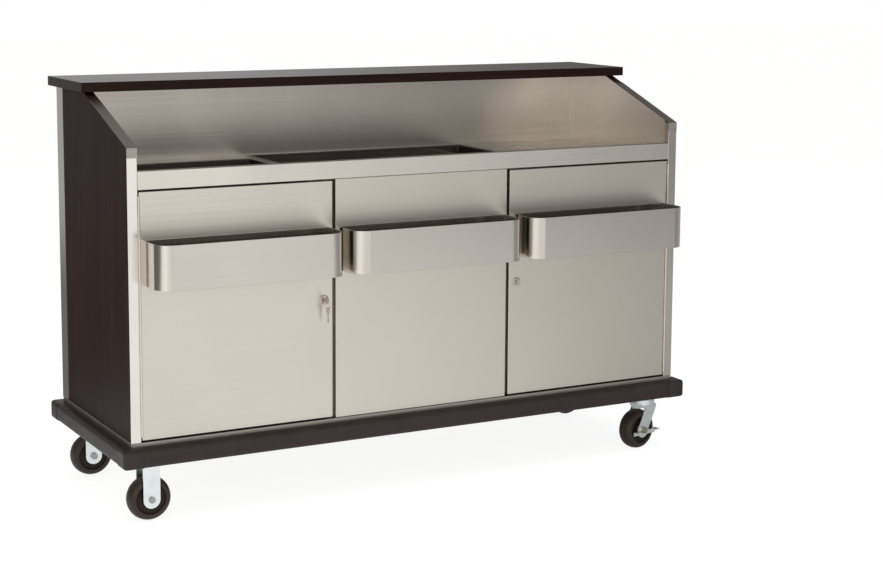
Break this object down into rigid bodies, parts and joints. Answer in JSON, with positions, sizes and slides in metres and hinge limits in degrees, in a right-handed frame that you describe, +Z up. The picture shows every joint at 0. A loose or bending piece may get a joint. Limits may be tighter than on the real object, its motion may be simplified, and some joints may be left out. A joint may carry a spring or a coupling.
{
  "type": "portable bar",
  "caption": "Mobile serving bar with a laminate body, a stainless working side with ice bin and bottle well, lockable hinged doors, hanging bottle rails, a wrap-round bumper and casters",
  "frame": {"origin": "on the floor, in the middle of the bar's overall length and depth", "axes": "+X along the bar to the right as seen from the working side, +Y from the working side to the customer side, +Z up"},
  "size_m": [1.894, 0.777, 1.219],
  "materials": {
    "laminate": "dark brown matt laminate on board",
    "top_laminate": "dark brown satin laminate",
    "stainless": "brushed along the bar",
    "trim": "brushed, darker satin",
    "bumper": "matt",
    "zinc": "bright zinc plate",
    "wheel": "matt",
    "nickel": "nickel plate",
    "brass": "plain",
    "board": "pale melamine-faced board",
    "foam": "rigid foam"
  },
  "bodies": {
    "bar_body": {"base_pan": "stainless", "bolster_left": "zinc", "bolster_right": "zinc", "bumper_front": "bumper", "bumper_rear": "bumper", "bumper_left": "bumper", "bumper_right": "bumper", "bumper_corners": "bumper", "side_panel_left": "laminate", "side_panel_right": "laminate", "side_liners": "stainless", "bin_divider": "stainless", "slope_edge_trims": "trim", "stile_left": "stainless", "stile_right": "stainless", "customer_panel": "laminate", "corner_trims": "trim", "backsplash": "stainless", "bar_top": "top_laminate", "work_deck": "stainless", "bulkheads": "board", "shelf_left": "board", "shelf_right": "board", "centre_panel": "stainless", "speed_rail_centre": "stainless", "bottle_well": "stainless", "ice_bin_liner": "stainless", "ice_bin_insulation": "foam", "drain_valve_body": "brass", "hinge_frame_leaves": "stainless", "hinge_pins": "zinc", "rigid_caster_front": "zinc", "rigid_caster_rear": "zinc", "rigid_axle_bolts": "zinc", "swivel_top_plates": "zinc", "caster_bolts": "zinc"},
    "door_left": {"door_shell_left": "stainless", "door_liner_left": "stainless", "hinge_door_leaf_left": "stainless", "lock_housing_left": "nickel", "speed_rail_left": "stainless"},
    "lock_left": {"lock_plug_left": "nickel", "key_set": "nickel"},
    "door_right": {"door_shell_right": "stainless", "door_liner_right": "stainless", "hinge_door_leaf_right": "stainless", "lock_housing_right": "nickel", "speed_rail_right": "stainless"},
    "lock_right": {"lock_plug_right": "nickel"},
    "drain_lever": {"drain_valve_lever": "brass"},
    "wheel_left_front": {"wheel_rigid_front": "wheel"},
    "wheel_left_rear": {"wheel_rigid_rear": "wheel"},
    "swivel_front": {"swivel_fork_front": "zinc", "swivel_axle_front": "zinc"},
    "wheel_right_front": {"wheel_swivel_front": "wheel"},
    "pedal_front": {"brake_pedal_front": "zinc"},
    "swivel_rear": {"swivel_fork_rear": "zinc", "swivel_axle_rear": "zinc"},
    "wheel_right_rear": {"wheel_swivel_rear": "wheel"},
    "pedal_rear": {"brake_pedal_rear": "zinc"}
  },
  "joints": [
    {"name": "door_left_hinge", "type": "hinge", "parent": "bar_body", "child": "door_left", "pos_m": [-0.8835, -0.2688, 0.59175], "axis": [0, 0, -1], "range_deg": [0, 105]},
    {"name": "door_right_hinge", "type": "hinge", "parent": "bar_body", "child": "door_right", "pos_m": [0.8835, -0.2688, 0.59175], "axis": [0, 0, 1], "range_deg": [0, 105]},
    {"name": "lock_left_turn", "type": "hinge", "parent": "door_left", "child": "lock_left", "pos_m": [-0.325, -0.2655, 0.594], "axis": [0, -1, 0], "range_deg": [0, 90]},
    {"name": "lock_right_turn", "type": "hinge", "parent": "door_right", "child": "lock_right", "pos_m": [0.325, -0.2655, 0.594], "axis": [0, 1, 0], "range_deg": [0, 90]},
    {"name": "drain_valve_turn", "type": "hinge", "parent": "bar_body", "child": "drain_lever", "pos_m": [0.38, -0.0335, 0.6688], "axis": [0, 1, 0], "range_deg": [0, 90]},
    {"name": "wheel_left_front_spin", "type": "hinge", "parent": "bar_body", "child": "wheel_left_front", "pos_m": [-0.849, -0.2125, 0.0635], "axis": [0, 1, 0], "continuous": true},
    {"name": "wheel_left_rear_spin", "type": "hinge", "parent": "bar_body", "child": "wheel_left_rear", "pos_m": [-0.849, 0.3015, 0.0635], "axis": [0, 1, 0], "continuous": true},
    {"name": "swivel_front_turn", "type": "hinge", "parent": "bar_body", "child": "swivel_front", "pos_m": [0.849, -0.2125, 0.16], "axis": [0, 0, 1], "continuous": true},
    {"name": "wheel_right_front_spin", "type": "hinge", "parent": "swivel_front", "child": "wheel_right_front", "pos_m": [0.81476, -0.21978, 0.0635], "axis": [-0.2079, 0.9781, 0], "continuous": true},
    {"name": "pedal_front_press", "type": "hinge", "parent": "swivel_front", "child": "pedal_front", "pos_m": [0.81476, -0.21978, 0.0635], "axis": [-0.2079, 0.9781, 0], "range_deg": [0, 12]},
    {"name": "swivel_rear_turn", "type": "hinge", "parent": "bar_body", "child": "swivel_rear", "pos_m": [0.849, 0.3015, 0.16], "axis": [0, 0, 1], "continuous": true},
    {"name": "wheel_right_rear_spin", "type": "hinge", "parent": "swivel_rear", "child": "wheel_right_rear", "pos_m": [0.849, 0.2665, 0.0635], "axis": [-1, 0, 0], "continuous": true},
    {"name": "pedal_rear_press", "type": "hinge", "parent": "swivel_rear", "child": "pedal_rear", "pos_m": [0.849, 0.2665, 0.0635], "axis": [-1, 0, 0], "range_deg": [0, 12]}
  ]
}
